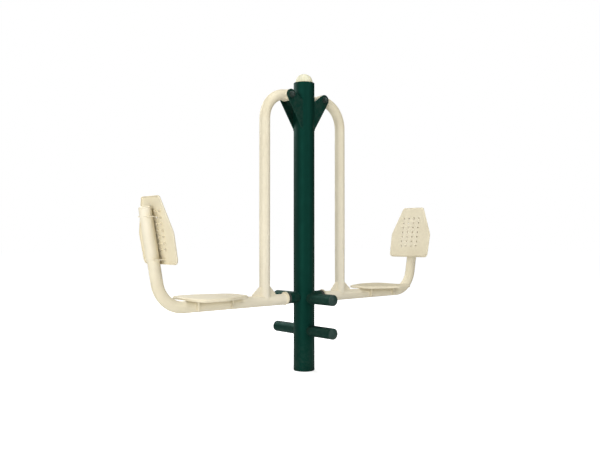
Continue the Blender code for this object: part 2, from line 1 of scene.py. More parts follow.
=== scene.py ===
"""Looks of the outdoor seated pedal trainer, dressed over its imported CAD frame.

The steel is rebuilt with smooth bent tubes, pressed panels with rolled rims, plates with broken
edges and rippled weld beads. Each finish is a node material. Units are metres. The frame is the
CAD's: origin at the middle of the post's foot, X along the seat beams, Z up, -Y is the front.
The seat units are built on the right and turned half a turn about the post for the left.
"""
import json
import math

import bmesh
import bpy
from mathutils import Matrix, Vector


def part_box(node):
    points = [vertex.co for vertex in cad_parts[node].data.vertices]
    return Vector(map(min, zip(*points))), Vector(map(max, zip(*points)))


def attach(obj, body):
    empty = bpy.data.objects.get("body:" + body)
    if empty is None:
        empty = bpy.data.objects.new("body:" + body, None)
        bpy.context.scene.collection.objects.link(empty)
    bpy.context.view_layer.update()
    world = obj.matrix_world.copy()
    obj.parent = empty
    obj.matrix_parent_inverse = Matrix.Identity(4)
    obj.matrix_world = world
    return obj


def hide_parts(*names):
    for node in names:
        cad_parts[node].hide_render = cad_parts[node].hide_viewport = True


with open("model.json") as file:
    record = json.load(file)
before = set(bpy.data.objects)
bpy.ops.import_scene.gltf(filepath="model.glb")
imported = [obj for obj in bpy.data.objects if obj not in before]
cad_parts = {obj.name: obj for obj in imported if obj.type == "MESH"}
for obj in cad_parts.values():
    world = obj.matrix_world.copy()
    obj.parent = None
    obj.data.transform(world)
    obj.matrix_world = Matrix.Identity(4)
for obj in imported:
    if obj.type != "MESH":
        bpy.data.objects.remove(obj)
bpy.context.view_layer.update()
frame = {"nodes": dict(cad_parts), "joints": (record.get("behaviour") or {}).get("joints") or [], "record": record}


def middle(node):
    """Middle of a CAD node's box."""
    low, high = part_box(node)
    return (low + high) / 2


def half(node):
    """Half of a CAD node's box."""
    low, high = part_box(node)
    return (high - low) / 2


# Sizes read from the frame
POST_R = half("post_tube").x
POST_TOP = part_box("post_tube")[1].z
CAP_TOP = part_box("post_cap")[1].z
TUBE_R = half("lower_foot_bar").z
FOOT_HALF = half("lower_foot_bar").y
FOOT_LOW_Z = middle("lower_foot_bar").z
FOOT_HIGH_Z = middle("upper_foot_bar").z
PLUG_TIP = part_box("lower_rear_foot_plug")[1].y
JOINT_AT = {joint["name"]: Vector(joint["pos_m"]) for joint in frame["joints"]}
PIVOT_X = JOINT_AT["right_seat_swing"].x
PIVOT_Z = JOINT_AT["right_seat_swing"].z
HOUSING_HALF = half("right_pivot_housing").y
BRACKET_Y = middle("right_rear_bracket").y
BRACKET_T = 2 * half("right_rear_bracket").y
ARM_R = half("right_swing_arm").y
ARM_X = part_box("right_swing_arm")[1].x - ARM_R
BEAM_R = half("right_seat_beam").y
BEAM_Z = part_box("right_seat_beam")[0].z + BEAM_R
BEAM_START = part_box("right_seat_beam")[0].x
PLATE_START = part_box("right_stop_plate")[0].x
PLATE_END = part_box("right_stop_plate")[1].x
PLATE_R = half("right_stop_plate").z
STOP_Z = middle("right_stop_stub").z
STUB_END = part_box("right_stop_stub")[1].x
BUMPER_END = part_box("right_bumper")[1].x
BUMPER_R = half("right_bumper").z
SEAT_TOP_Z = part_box("right_seat_pan")[1].z
SEAT_REAR_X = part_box("right_seat_pan")[1].x
SEAT_FRONT_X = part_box("right_seat_pan")[0].x
SADDLE_HALF = half("right_front_seat_saddle").y
SADDLE_T = 2 * half("right_front_seat_saddle").x
SADDLE_LOW_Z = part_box("right_front_seat_saddle")[0].z
SADDLE_TOP_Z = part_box("right_front_seat_saddle")[1].z

# Driving sizes that no box gives
GAP = 0.0003
POST_WALL = 0.004
TUBE_WALL = 0.003
BEND_R = 0.144
CAP_R = 0.050
CAP_BRIM = 0.003
CAP_STEP = 0.002
BRACKET_LOW_LEAN = math.radians(33.0)
BRACKET_HIGH_LEAN = math.radians(54.0)
BRACKET_ROOT = 0.040
BEARING_SEAT_R = 0.0238
ELBOW_X = 0.778
BACK_LEAN = math.radians(10.5)
BACK_TUBE = 0.358
BACK_CAP_H = 0.010
GUSSET_RISE = 0.045
GUSSET_NOSE = 0.008
PLUG_BRIM = 0.003
NUT_FLATS = 0.030
NUT_H = 0.014
NUT_DOME = 0.007
NUT_FLANGE_R = 0.0175
NUT_FLANGE_T = 0.003
SHEET = 0.003
SEAT_RIM = 0.014
BACK_RIM = 0.011
RIM_ROUND = 0.009
SEAT_WIDEST_SHARE = 0.44
SEAT_HALF_REAR = 0.152
SEAT_HALF_WIDEST = 0.157
SEAT_HALF_FRONT = 0.084
SEAT_CORNER_REAR = 0.055
SEAT_CORNER_SIDE = 0.110
SEAT_CORNER_FRONT = 0.062
BACK_UP = 0.086
BACK_LEN = 0.323
BACK_OFF = 0.044
BACK_WIDEST_SHARE = 0.46
BACK_HALF_FOOT = 0.1515
BACK_HALF_WIDEST = 0.1555
BACK_HALF_HEAD = 0.0795
BACK_CORNER_FOOT = 0.024
BACK_CORNER_SIDE = 0.050
BACK_CORNER_HEAD = 0.016
HOLE_R = 0.005
COLLAR_WALL = 0.0012
COLLAR_DEPTH = 0.010
COLLAR_CLEAR = 0.002
HOLE_COLUMNS = 4
HOLE_ROWS = 7
HOLE_ACROSS = 0.040
HOLE_UP = 0.030
HOLE_FIRST = 0.070
SADDLE_PAST = 0.020
BACK_SADDLE_SHARES = (0.09, 0.715)

# Small shapes that only the scene has
EDGE_ROUND = 0.0008
PLATE_EDGE = 0.0010
HOLE_SINK = 0.0008
NUT_CHAMFER = 0.0015
RUBBER_GROOVE = 0.0012
BUMPER_EDGE_SHARE = 0.2
WELD_R = 0.0028
SMALL_WELD_R = 0.0018
WELD_PITCH = 0.0045
WELD_STEPS_PER_PITCH = 5
WELD_DIP_SHARE = 0.22
WELD_SIDES = 8

# Smoothness
POST_SIDES = 96
TUBE_SIDES = 64
NUT_SIDES = 96
HOLE_SIDES = 16
BEND_STEPS = 36
ARC_STEP = math.radians(11.0)
ARC_LEAST = 2
NUT_DOME_STEPS = 8
BEVEL_SEGMENTS = 2
SHARP = math.radians(40.0)
HEX_HALF = math.pi / 6

# Places worked out from the sizes above
DROP = PIVOT_Z - BEAM_Z
BACK_TURN = math.pi / 2 - BACK_LEAN
ELBOW_TOP_X = ELBOW_X + BEND_R * math.sin(BACK_TURN)
ELBOW_TOP_Z = BEAM_Z + BEND_R * (1 - math.cos(BACK_TURN))
BACK_PLACE = (Matrix.Translation((ELBOW_TOP_X, 0, ELBOW_TOP_Z))
              @ Matrix.Rotation(BACK_LEAN, 4, "Y"))
X_WAY = Vector((1, 0, 0))
Y_WAY = Vector((0, 1, 0))
Z_WAY = Vector((0, 0, 1))
SIDES = (("left", Matrix.Rotation(math.pi, 4, "Z")), ("right", Matrix.Identity(4)))


# Outlines


def unit(u, v):
    """Direction (u, v) at a length of one."""
    length = math.hypot(u, v)
    return u / length, v / length


def arc(centre_u, centre_v, radius, start, turn):
    """Points on an arc that starts at an angle and turns by another."""
    steps = max(ARC_LEAST, math.ceil(abs(turn) / ARC_STEP))
    return [(centre_u + radius * math.cos(start + turn * step / steps),
             centre_v + radius * math.sin(start + turn * step / steps))
            for step in range(steps + 1)]


def rounded(corners, closed=True):
    """Points through (u, v, radius) corners, with an arc of its radius at each corner."""
    points = []
    last = len(corners) - 1
    for index, (u, v, radius) in enumerate(corners):
        if radius == 0 or (not closed and index in (0, last)):
            points.append((u, v))
            continue
        before = corners[index - 1]
        after = corners[(index + 1) % len(corners)]
        ax, ay = unit(u - before[0], v - before[1])
        bx, by = unit(after[0] - u, after[1] - v)
        turn = math.atan2(ax * by - ay * bx, ax * bx + ay * by)
        way = math.copysign(1, turn)
        back = radius * math.tan(abs(turn) / 2)
        points += arc(u - ax * back - way * ay * radius, v - ay * back + way * ax * radius,
                      radius, math.atan2(-way * ax, way * ay), turn)
    return points


def inset_corners(corners, distance):
    """Move each side of a convex (x, y, radius) outline inward by distance."""
    moved = []
    count = len(corners)
    for index in range(count):
        x0, y0, _ = corners[index - 1]
        x1, y1, radius = corners[index]
        x2, y2, _ = corners[(index + 1) % count]
        ax, ay = unit(x1 - x0, y1 - y0)
        bx, by = unit(x2 - x1, y2 - y1)
        reach = distance / (1 + ax * bx + ay * by)
        moved.append((x1 - (ay + by) * reach, y1 + (ax + bx) * reach, radius - distance))
    return moved


def panel_corners(length, widest_share, half_root, half_widest, half_head, radii):
    """Six corners of a panel that runs along +X from its root to its narrower head."""
    root, side, head = radii
    widest = length * widest_share
    lower = [(0, -half_root, root), (widest, -half_widest, side), (length, -half_head, head)]
    upper = [(x, -y, radius) for x, y, radius in reversed(lower)]
    return lower + upper


# Mesh code


def skin(bm, rings, closed=False):
    """Join rings with quads, or with triangles to a ring of one point."""
    pairs = list(zip(rings, rings[1:]))
    if closed:
        pairs.append((rings[-1], rings[0]))
    for lower, upper in pairs:
        count = max(len(lower), len(upper))
        for i in range(count):
            j = (i + 1) % count
            corners = [lower[i % len(lower)], lower[j % len(lower)],
                       upper[j % len(upper)], upper[i % len(upper)]]
            bm.faces.new(list(dict.fromkeys(corners)))


def turned(profile, sides, closed=False, reach=None):
    """Turn (radius, height) points about Z. reach gives a radius by angle and height."""
    bm = bmesh.new()
    rings = []
    for radius, height in profile:
        if radius == 0:
            rings.append([bm.verts.new((0, 0, height))])
            continue
        ring = []
        for side in range(sides):
            angle = 2 * math.pi * side / sides
            far = reach(radius, angle) if reach else radius
            ring.append(bm.verts.new((far * math.cos(angle), far * math.sin(angle), height)))
        rings.append(ring)
    skin(bm, rings, closed)
    return bm


def pipe(radius, wall, low, high, sides):
    """Straight pipe about Z with eased edges."""
    bore = radius - wall
    corners = [(bore, low, EDGE_ROUND), (radius, low, EDGE_ROUND),
               (radius, high, EDGE_ROUND), (bore, high, EDGE_ROUND)]
    return turned(rounded(corners), sides, closed=True)


def swept(stations, radius, start_mouth=0, end_mouth=0):
    """Tube along (x, z, slope) stations in the XZ plane.

    A mouth is the radius of the round piece across Y that the end fits round or onto.
    """
    bm = bmesh.new()
    last = len(stations) - 1

    def ring(index, reach):
        x, z, slope = stations[index]
        mouth = start_mouth if index == 0 else end_mouth if index == last else 0
        way = 1 if index == 0 else -1
        points = []
        for side in range(TUBE_SIDES):
            angle = 2 * math.pi * side / TUBE_SIDES
            across = reach * math.cos(angle)
            lift = reach * math.sin(angle)
            rest = lift if index == 0 else across
            ahead = way * math.sqrt(max(0, mouth ** 2 - rest ** 2)) if mouth else 0
            points.append(bm.verts.new((
                x + ahead * math.cos(slope) - lift * math.sin(slope), across,
                z + ahead * math.sin(slope) + lift * math.cos(slope))))
        return points

    outside = [ring(index, radius) for index in range(last + 1)]
    inside = [ring(index, radius - TUBE_WALL) for index in range(last, -1, -1)]
    skin(bm, outside + inside, closed=True)
    return bm


def bend(x, z, slope, turn):
    """Stations on an arc that starts at (x, z) and turns the slope by turn radians."""
    way = math.copysign(1, turn)
    centre_x = x - way * BEND_R * math.sin(slope)
    centre_z = z + way * BEND_R * math.cos(slope)
    stations = []
    for step in range(BEND_STEPS + 1):
        angle = slope + turn * step / BEND_STEPS
        stations.append((centre_x + way * BEND_R * math.sin(angle),
                         centre_z - way * BEND_R * math.cos(angle), angle))
    return stations


def slab(outline, low, high):
    """Flat plate: an (x, z) outline between two depths along Y."""
    bm = bmesh.new()
    rings = [[bm.verts.new((x, depth, z)) for x, z in outline] for depth in (low, high)]
    skin(bm, rings)
    bm.faces.new(rings[0])
    bm.faces.new(rings[1])
    return bm


def circle(bm, x, y, radius, height):
    """Level ring of points for a hole."""
    ring = []
    for side in range(HOLE_SIDES):
        angle = 2 * math.pi * side / HOLE_SIDES
        ring.append(bm.verts.new((x + radius * math.cos(angle), y + radius * math.sin(angle),
                                  height)))
    return ring


def fill_flat(bm, rings):
    """Fill between an outer ring and the rings inside it."""
    edges = []
    for ring in rings:
        for i, vertex in enumerate(ring):
            after = ring[(i + 1) % len(ring)]
            edges.append(bm.edges.get((vertex, after)) or bm.edges.new((vertex, after)))
    bmesh.ops.triangle_fill(bm, use_beauty=True, edges=edges)


def pressed(corners, rim, holes=()):
    """Sheet panel facing +Z with its face at z = 0 and its rim turned down.

    Each hole is (x, y, collar), and a collar is a short tube drawn out behind the hole.
    """
    bm = bmesh.new()
    inner_round = RIM_ROUND - SHEET
    quarter = math.pi / 2
    face = [(RIM_ROUND + u, v - RIM_ROUND)
            for u, v in arc(0, 0, RIM_ROUND, quarter, quarter)]
    back = [(RIM_ROUND + u, v - RIM_ROUND)
            for u, v in arc(0, 0, inner_round, 2 * quarter, -quarter)]
    lip = [(0, -rim + EDGE_ROUND), (EDGE_ROUND, -rim),
           (SHEET - EDGE_ROUND, -rim), (SHEET, -rim + EDGE_ROUND)]
    rings = []
    for inset, height in face + lip + back:
        outline = rounded(inset_corners(corners, inset))
        rings.append([bm.verts.new((x, y, height)) for x, y in outline])
    skin(bm, rings)
    front_rings = [rings[0]]
    back_rings = [rings[-1]]
    outer = HOLE_R + COLLAR_WALL
    for x, y, collar in holes:
        levels = [(HOLE_R + HOLE_SINK, 0), (HOLE_R, -HOLE_SINK)]
        if collar:
            levels += [(HOLE_R, -COLLAR_DEPTH), (outer, -COLLAR_DEPTH), (outer, -SHEET)]
        else:
            levels.append((HOLE_R, -SHEET))
        walls = [circle(bm, x, y, radius, height) for radius, height in levels]
        skin(bm, walls)
        front_rings.append(walls[0])
        back_rings.append(walls[-1])
    fill_flat(bm, front_rings)
    fill_flat(bm, back_rings)
    return bm


def dome(radius, brim, height):
    """Half ellipse over a short straight brim with an eased foot, up to the axis."""
    steps = math.ceil(math.pi / 2 / ARC_STEP)
    points = rounded([(0, 0, 0), (radius, 0, EDGE_ROUND), (radius, brim, 0)], closed=False)[1:]
    for step in range(1, steps):
        angle = math.pi / 2 * step / steps
        points.append((radius * math.cos(angle), brim + (height - brim) * math.sin(angle)))
    points.append((0, height))
    return points


def bead(curve, about, radius=WELD_R):
    """Weld bead along curve, a function of 0 to 1 that ends where it starts."""
    coarse = [curve(i / TUBE_SIDES) for i in range(TUBE_SIDES + 1)]
    length = sum((b - a).length for a, b in zip(coarse, coarse[1:]))
    ripples = max(1, round(length / WELD_PITCH))
    count = ripples * WELD_STEPS_PER_PITCH
    bm = bmesh.new()
    rings = []
    for step in range(count):
        here = curve(step / count)
        ahead = (curve((step + 1) % count / count) - curve((step - 1) % count / count))
        along = ahead.normalized()
        side = along.cross(about).normalized()
        up = side.cross(along)
        ripple = abs(math.sin(math.pi * step / WELD_STEPS_PER_PITCH))
        thick = radius * (1 - WELD_DIP_SHARE * (1 - ripple))
        ring = []
        for corner in range(WELD_SIDES):
            angle = 2 * math.pi * corner / WELD_SIDES
            ring.append(bm.verts.new(here + thick * (math.cos(angle) * side
                                                     + math.sin(angle) * up)))
        rings.append(ring)
    skin(bm, rings, closed=True)
    return bm


def loop_curve(corners):
    """Curve of 0 to 1 once round a closed list of points, at an even pace."""
    lengths = [(corners[(i + 1) % len(corners)] - corner).length
               for i, corner in enumerate(corners)]
    total = sum(lengths)

    def curve(share):
        left = share % 1 * total
        for i, length in enumerate(lengths):
            if left <= length or i == len(lengths) - 1:
                return corners[i].lerp(corners[(i + 1) % len(corners)], left / length)
            left -= length

    return curve


# Pieces


def piece(name, bm, finish, body, nodes=(), place=None, bevel=0):
    """Scene object from a mesh, in its finish, riding on a body and standing for CAD nodes."""
    bmesh.ops.recalc_face_normals(bm, faces=bm.faces)
    mesh = bpy.data.meshes.new(name)
    bm.to_mesh(mesh)
    bm.free()
    mesh.shade_smooth()
    mesh.set_sharp_from_angle(angle=SHARP)
    mesh.materials.append(finish["material"])
    obj = bpy.data.objects.new(name, mesh)
    bpy.context.scene.collection.objects.link(obj)
    if place is not None:
        obj.matrix_world = place
    if bevel:
        ease = obj.modifiers.new("eased_edges", "BEVEL")
        ease.width = bevel
        ease.segments = BEVEL_SEGMENTS
        ease.limit_method = "ANGLE"
        ease.angle_limit = SHARP
        ease.harden_normals = True
    weigh = obj.modifiers.new("flat_faces_stay_flat", "WEIGHTED_NORMAL")
    weigh.keep_sharp = True
    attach(obj, body)
    if nodes:
        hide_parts(*nodes)


def along_y(x, z, y=0, way=1):
    """Place that turns +Z of a turned piece to +Y, or to -Y."""
    return Matrix.Translation((x, y, z)) @ Matrix.Rotation(-way * math.pi / 2, 4, "X")


def along_x(x, z):
    """Place that turns +Z of a turned piece to +X."""
    return Matrix.Translation((x, 0, z)) @ Matrix.Rotation(math.pi / 2, 4, "Y")


def end_name(side, end):
    """Name of a right-hand end on its side: the half turn to the left swaps front and rear."""
    return end if side == "right" else {"front": "rear", "rear": "front"}[end]


def post_seam(x_way, y_way, height):
    """Curve round a level tube where it meets the post: x_way or y_way is its way out."""
    def curve(share):
        angle = 2 * math.pi * share
        across = TUBE_R * math.cos(angle)
        out = math.sqrt(POST_R ** 2 - across ** 2)
        if x_way:
            return Vector((x_way * out, across, height + TUBE_R * math.sin(angle)))
        return Vector((across, y_way * out, height + TUBE_R * math.sin(angle)))
    return curve


def build_post(green, plastic, plug_plastic):
    """Post tube, its cap, and the foot bars with their plugs and welds."""
    piece("post_shell", pipe(POST_R, POST_WALL, 0, POST_TOP, POST_SIDES), green, "post",
          ["post_tube"])

    bore = POST_R - POST_WALL - GAP
    top = CAP_TOP - POST_TOP
    cap = [(0, -top / 2, 0), (bore, -top / 2, EDGE_ROUND), (bore, 0, 0),
           (CAP_R, 0, 0), (CAP_R, CAP_BRIM, EDGE_ROUND), (CAP_R - CAP_STEP, CAP_BRIM, 0)]
    crown = [(r, z + CAP_BRIM) for r, z in dome(CAP_R - CAP_STEP, CAP_BRIM, top - CAP_BRIM)]
    piece("post_cap_dome", turned(rounded(cap, closed=False)[:-1] + crown, POST_SIDES), plastic,
          "post", ["post_cap"], Matrix.Translation((0, 0, POST_TOP)))

    skirt = TUBE_R - TUBE_WALL - GAP
    height = PLUG_TIP - FOOT_HALF
    plug_foot = [(0, -height), (skirt, -height), (skirt, 0)]
    for level, z in (("lower", FOOT_LOW_Z), ("upper", FOOT_HIGH_Z)):
        piece(level + "_foot_tube", pipe(TUBE_R, TUBE_WALL, -FOOT_HALF, FOOT_HALF, TUBE_SIDES),
              green, "post", [level + "_foot_bar"], along_y(0, z))
        for end, way in (("front", -1), ("rear", 1)):
            plug = turned(plug_foot + dome(TUBE_R, PLUG_BRIM, height), TUBE_SIDES)
            piece(level + "_" + end + "_foot_cap", plug, plug_plastic, "post",
                  [level + "_" + end + "_foot_plug"], along_y(0, z, way * FOOT_HALF, way))
            piece(level + "_" + end + "_foot_weld", bead(post_seam(0, way, z), Y_WAY), green,
                  "post")


def bracket_outline():
    """Outline of a pivot plate about the pivot: a round end, then its high and low root corner."""
    sweep = math.pi - BRACKET_HIGH_LEAN + BRACKET_LOW_LEAN
    outline = arc(0, 0, TUBE_R, -BRACKET_LOW_LEAN, sweep)
    for lean, point in ((BRACKET_HIGH_LEAN, outline[-1]), (BRACKET_LOW_LEAN, outline[0])):
        inward = PIVOT_X - BRACKET_ROOT + point[0]
        outline.append((BRACKET_ROOT - PIVOT_X, point[1] - inward / math.tan(lean)))
    return outline


def bracket_height(outline, x, corner, end):
    """Height where the edge from an end of the round to a root corner passes x."""
    u0, v0 = outline[end]
    u1, v1 = outline[corner]
    share = (x - PIVOT_X - u0) / (u1 - u0)
    return PIVOT_Z + v0 + (v1 - v0) * share


def build_brackets(side, turn, green):
    """Two pivot plates with their welds on the post."""
    outline = bracket_outline()
    for end, face in (("front", -1), ("rear", 1)):
        y = face * BRACKET_Y
        plate = slab(outline, y - BRACKET_T / 2, y + BRACKET_T / 2)
        name = side + "_" + end_name(side, end) + "_bracket"
        piece(name + "_plate", plate, green, "post", [name],
              turn @ Matrix.Translation((PIVOT_X, 0, PIVOT_Z)), bevel=PLATE_EDGE)
        seam = []
        for depth in (y - BRACKET_T / 2, y + BRACKET_T / 2):
            x = math.sqrt(POST_R ** 2 - depth ** 2)
            low = Vector((x, depth, bracket_height(outline, x, -1, 0)))
            high = Vector((x, depth, bracket_height(outline, x, -2, -3)))
            seam += [low, high] if depth < y else [high, low]
        piece(name + "_weld", bead(loop_curve(seam), X_WAY), green, "post", place=turn)


def nut_reach(radius, angle):
    """Radius of a nut at an angle: a hexagon with eased corners between round flange and neck."""
    flats = NUT_FLATS / 2
    if radius < flats or radius == NUT_FLANGE_R:
        return radius
    corner = flats / math.cos((angle + HEX_HALF) % (2 * HEX_HALF) - HEX_HALF)
    return min(radius, corner, flats / math.cos(HEX_HALF) - NUT_CHAMFER / 2)


def build_nuts(side, turn, steel):
    """Flanged cap nuts on the ends of the pivot shaft."""
    flats = NUT_FLATS / 2
    corner_r = flats / math.cos(HEX_HALF)
    neck = flats - NUT_CHAMFER
    profile = [(0, 0), (NUT_FLANGE_R, 0), (NUT_FLANGE_R, NUT_FLANGE_T / 2),
               (corner_r, NUT_FLANGE_T), (corner_r, NUT_H - NUT_CHAMFER), (flats, NUT_H),
               (neck, NUT_H), (neck, NUT_H + NUT_CHAMFER / 2)]
    for step in range(1, NUT_DOME_STEPS):
        angle = math.pi / 2 * step / NUT_DOME_STEPS
        profile.append((neck * math.cos(angle), NUT_H + NUT_DOME * math.sin(angle)))
    profile.append((0, NUT_H + NUT_DOME))
    seat = BRACKET_Y + BRACKET_T / 2 + GAP
    for end, face in (("front", -1), ("rear", 1)):
        name = side + "_" + end_name(side, end) + "_cap_nut"
        piece(name + "_turned", turned(profile, NUT_SIDES, reach=nut_reach), steel, "post",
              [name], turn @ along_y(PIVOT_X, PIVOT_Z, face * seat, face))


def build_stop(side, turn, green, rubber):
    """Stop tube on the post with its weld, and the rubber bumper in its end."""
    name = side + "_stop"
    piece(name + "_tube", pipe(TUBE_R, TUBE_WALL, POST_R - POST_WALL / 2, STUB_END, TUBE_SIDES),
          green, "post", [name + "_stub"], turn @ along_x(0, STOP_Z))
    piece(name + "_weld", bead(post_seam(1, 0, STOP_Z), X_WAY), green, "post", place=turn)

    start = STUB_END + GAP
    thick = BUMPER_END - start
    edge = thick * BUMPER_EDGE_SHARE
    groove_z = thick / 2
    groove = rounded([
        (0, -thick, 0), (TUBE_R - TUBE_WALL - GAP, -thick, EDGE_ROUND),
        (TUBE_R - TUBE_WALL - GAP, 0, 0), (BUMPER_R, 0, edge),
        (BUMPER_R, groove_z - RUBBER_GROOVE, EDGE_ROUND / 2),
        (BUMPER_R - RUBBER_GROOVE, groove_z, EDGE_ROUND / 2),
        (BUMPER_R, groove_z + RUBBER_GROOVE, EDGE_ROUND / 2),
        (BUMPER_R, thick, edge), (0, thick, 0)], closed=False)
    piece(side + "_bumper_moulding", turned(groove, TUBE_SIDES), rubber, "post",
          [side + "_bumper"], turn @ along_x(start, STOP_Z))


def build_arm(side, turn, cream):
    """Bearing housing and bent arm, with the weld between them."""
    body = side + "_seat"
    housing = pipe(TUBE_R, TUBE_R - BEARING_SEAT_R, -HOUSING_HALF, HOUSING_HALF, TUBE_SIDES)
    piece(side + "_housing_tube", housing, cream, body, [side + "_pivot_housing"],
          turn @ along_y(PIVOT_X, PIVOT_Z))

    straight = ARM_X - PIVOT_X - BEND_R
    stations = [(0, 0, 0)] + bend(straight, 0, 0, -math.pi / 2)
    stations.append((ARM_X - PIVOT_X, -DROP, -math.pi / 2))
    piece(side + "_arm_tube", swept(stations, ARM_R, TUBE_R, BEAM_R), cream, body,
          [side + "_swing_arm"], turn @ Matrix.Translation((PIVOT_X, 0, PIVOT_Z)))

    def at_housing(share):
        angle = 2 * math.pi * share
        lift = ARM_R * math.sin(angle)
        return Vector((PIVOT_X + math.sqrt(TUBE_R ** 2 - lift ** 2), ARM_R * math.cos(angle),
                       PIVOT_Z + lift))

    def at_beam(share):
        angle = 2 * math.pi * share
        across = ARM_R * math.sin(angle)
        return Vector((ARM_X + ARM_R * math.cos(angle), across,
                       BEAM_Z + math.sqrt(BEAM_R ** 2 - across ** 2)))

    piece(side + "_housing_weld", bead(at_housing, X_WAY), cream, body, place=turn)
    piece(side + "_arm_weld", bead(at_beam, Z_WAY), cream, body, place=turn)


def build_gussets(side, turn, cream):
    """Plates between arm and beam, each with a weld along its foot and one up its root."""
    body = side + "_seat"
    for end, face in (("inner", -1), ("outer", 1)):
        name = side + "_" + end + "_gusset"
        low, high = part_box("right_" + end + "_gusset")
        tip = max(abs(low.x - ARM_X), abs(high.x - ARM_X))
        rise = BEAM_R + GUSSET_RISE
        outline = [(face * ARM_R, BEAM_R), (face * tip, BEAM_R),
                   (face * tip, BEAM_R + GUSSET_NOSE), (face * (ARM_R + GUSSET_NOSE), rise),
                   (face * ARM_R, rise)]
        piece(name + "_plate", slab(outline, low.y, high.y), cream, body, [name],
              turn @ Matrix.Translation((ARM_X, 0, BEAM_Z)), bevel=PLATE_EDGE)
        sides = ((low.y, 0), (low.y, 1), (high.y, 1), (high.y, 0))
        level = [Vector((ARM_X + face * (ARM_R + end_share * (tip - ARM_R)), depth,
                         BEAM_Z + BEAM_R)) for depth, end_share in sides]
        upright = [Vector((ARM_X + face * ARM_R, depth,
                           BEAM_Z + BEAM_R + end_share * GUSSET_RISE))
                   for depth, end_share in sides]
        piece(name + "_level_weld", bead(loop_curve(level), Z_WAY, SMALL_WELD_R), cream, body,
              place=turn)
        piece(name + "_upright_weld", bead(loop_curve(upright), X_WAY, SMALL_WELD_R), cream,
              body, place=turn)


def build_beam(side, turn, cream):
    """Beam, elbow and back tube in one bent tube, with its stop plate, weld and top cap."""
    body = side + "_seat"
    stations = [(BEAM_START, BEAM_Z, 0)] + bend(ELBOW_X, BEAM_Z, 0, BACK_TURN)
    stations.append((ELBOW_TOP_X + BACK_TUBE * math.sin(BACK_LEAN),
                     ELBOW_TOP_Z + BACK_TUBE * math.cos(BACK_LEAN), BACK_TURN))
    piece(side + "_beam_tube", swept(stations, BEAM_R), cream, body, [side + "_seat_beam"], turn)

    thick = PLATE_END - PLATE_START
    plate = rounded([(0, 0, 0), (PLATE_R, 0, EDGE_ROUND), (PLATE_R, thick, EDGE_ROUND),
                     (0, thick, 0)], closed=False)
    piece(side + "_stop_disc", turned(plate, TUBE_SIDES), cream, body, [side + "_stop_plate"],
          turn @ along_x(PLATE_START, STOP_Z))

    def at_plate(share):
        angle = 2 * math.pi * share
        return Vector((PLATE_END, BEAM_R * math.cos(angle), BEAM_Z + BEAM_R * math.sin(angle)))

    piece(side + "_disc_weld", bead(at_plate, X_WAY), cream, body, place=turn)

    skirt = BEAM_R - TUBE_WALL - GAP
    foot = [(0, -BACK_CAP_H), (skirt, -BACK_CAP_H), (skirt, 0)]
    cap = turned(foot + dome(BEAM_R, EDGE_ROUND, BACK_CAP_H), TUBE_SIDES)
    piece(side + "_back_cap", cap, cream, body, [side + "_back_tube_cap"],
          turn @ BACK_PLACE @ Matrix.Translation((0, 0, BACK_TUBE + GAP)))


def saddle_outline(low, top, stretch):
    """Upright plate from low to top with a round notch for the tube, as (across, up) points."""
    notch = BEAM_R + GAP
    start = math.asin(low / (notch * stretch))
    round_part = [(notch * math.cos(angle), stretch * notch * math.sin(angle))
                  for angle in (start + (math.pi - 2 * start) * step / TUBE_SIDES
                                for step in range(TUBE_SIDES + 1))]
    return round_part + [(-SADDLE_HALF, low), (-SADDLE_HALF, top), (SADDLE_HALF, top),
                         (SADDLE_HALF, low)]


def build_seat(side, turn, cream):
    """Pressed seat panel and the two saddle plates that carry it."""
    body = side + "_seat"
    corners = panel_corners(SEAT_REAR_X - SEAT_FRONT_X, SEAT_WIDEST_SHARE, SEAT_HALF_REAR,
                            SEAT_HALF_WIDEST, SEAT_HALF_FRONT,
                            (SEAT_CORNER_REAR, SEAT_CORNER_SIDE, SEAT_CORNER_FRONT))
    piece(side + "_pan_pressing", pressed(corners, SEAT_RIM), cream, body, [side + "_seat_pan"],
          turn @ Matrix.Translation((SEAT_REAR_X, 0, SEAT_TOP_Z))
          @ Matrix.Rotation(math.pi, 4, "Z"))

    outline = saddle_outline(SADDLE_LOW_Z - BEAM_Z, SADDLE_TOP_Z - BEAM_Z, 1)
    for end in ("front", "rear"):
        name = side + "_" + end + "_seat_saddle"
        place = (Matrix.Translation((middle("right_" + end + "_seat_saddle").x, 0, BEAM_Z))
                 @ Matrix.Rotation(math.pi / 2, 4, "Z"))
        piece(name + "_plate", slab(outline, -SADDLE_T / 2, SADDLE_T / 2), cream, body, [name],
              turn @ place, bevel=PLATE_EDGE / 2)


def hole_places():
    """Middle of each hole, and whether it is clear enough of the saddle plate for a collar."""
    saddle_x = BACK_SADDLE_SHARES[1] * BACK_LEN - BACK_OFF * math.tan(BACK_LEAN)
    reach = HOLE_R + COLLAR_WALL + COLLAR_CLEAR + SADDLE_T
    places = []
    for row in range(HOLE_ROWS):
        for column in range(HOLE_COLUMNS):
            x = HOLE_FIRST + row * HOLE_UP
            y = (column - (HOLE_COLUMNS - 1) / 2) * HOLE_ACROSS
            places.append((x, y, abs(x - saddle_x) > reach or abs(y) > SADDLE_HALF))
    return places


